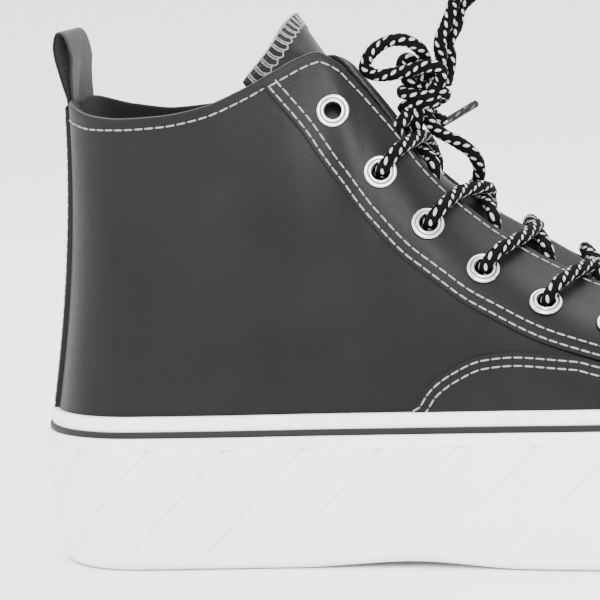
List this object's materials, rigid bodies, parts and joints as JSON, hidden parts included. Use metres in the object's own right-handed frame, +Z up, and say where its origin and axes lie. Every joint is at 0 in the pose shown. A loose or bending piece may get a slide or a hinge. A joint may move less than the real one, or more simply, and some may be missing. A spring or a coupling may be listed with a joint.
{
  "type": "high-top sneaker",
  "caption": "Black leather high-top lace-up sneaker on a thick faceted white platform sole, with metal eyelets, a tied round lace and a heel pull loop.",
  "frame": {"origin": "on the ground under the middle of the sole's length and breadth", "axes": "+X to the toe, +Z up, -Y to the outer side of the foot"},
  "size_m": [0.278, 0.1019, 0.1841],
  "materials": {
    "upper_leather": "smooth black leather with a fine grain, semi-gloss",
    "loop_leather": "smooth dark band",
    "sole_rubber": "white, satin",
    "stripe_rubber": "dark grey line",
    "insole_textile": "dark woven lining",
    "eyelet_metal": "polished silver",
    "lace_cord": "black braid with rows of white dots",
    "aglet_film": "dark plastic film"
  },
  "bodies": {
    "root": {"platform_sole": "sole_rubber", "pinstripe": "stripe_rubber", "foxing": "sole_rubber", "insole": "insole_textile", "upper": "upper_leather", "eyestay": "upper_leather", "vamp": "upper_leather", "back_strip": "upper_leather", "pull_loop": "loop_leather", "tongue": "upper_leather", "lace_crossing_1": "lace_cord", "lace_crossing_2": "lace_cord", "lace_crossing_3": "lace_cord", "lace_crossing_4": "lace_cord", "lace_bar": "lace_cord", "lace_knot": "lace_cord", "lace_loop_rear": "lace_cord", "lace_loop_upright": "lace_cord", "lace_end_hanging": "lace_cord", "aglet_short": "aglet_film", "aglet_hanging": "aglet_film", "eyelet_outer_1": "eyelet_metal", "eyelet_outer_2": "eyelet_metal", "eyelet_outer_3": "eyelet_metal", "eyelet_outer_4": "eyelet_metal", "eyelet_outer_5": "eyelet_metal", "eyelet_outer_6": "eyelet_metal", "eyelet_inner_1": "eyelet_metal", "eyelet_inner_2": "eyelet_metal", "eyelet_inner_3": "eyelet_metal", "eyelet_inner_4": "eyelet_metal", "eyelet_inner_5": "eyelet_metal", "eyelet_inner_6": "eyelet_metal"}
  },
  "joints": []
}
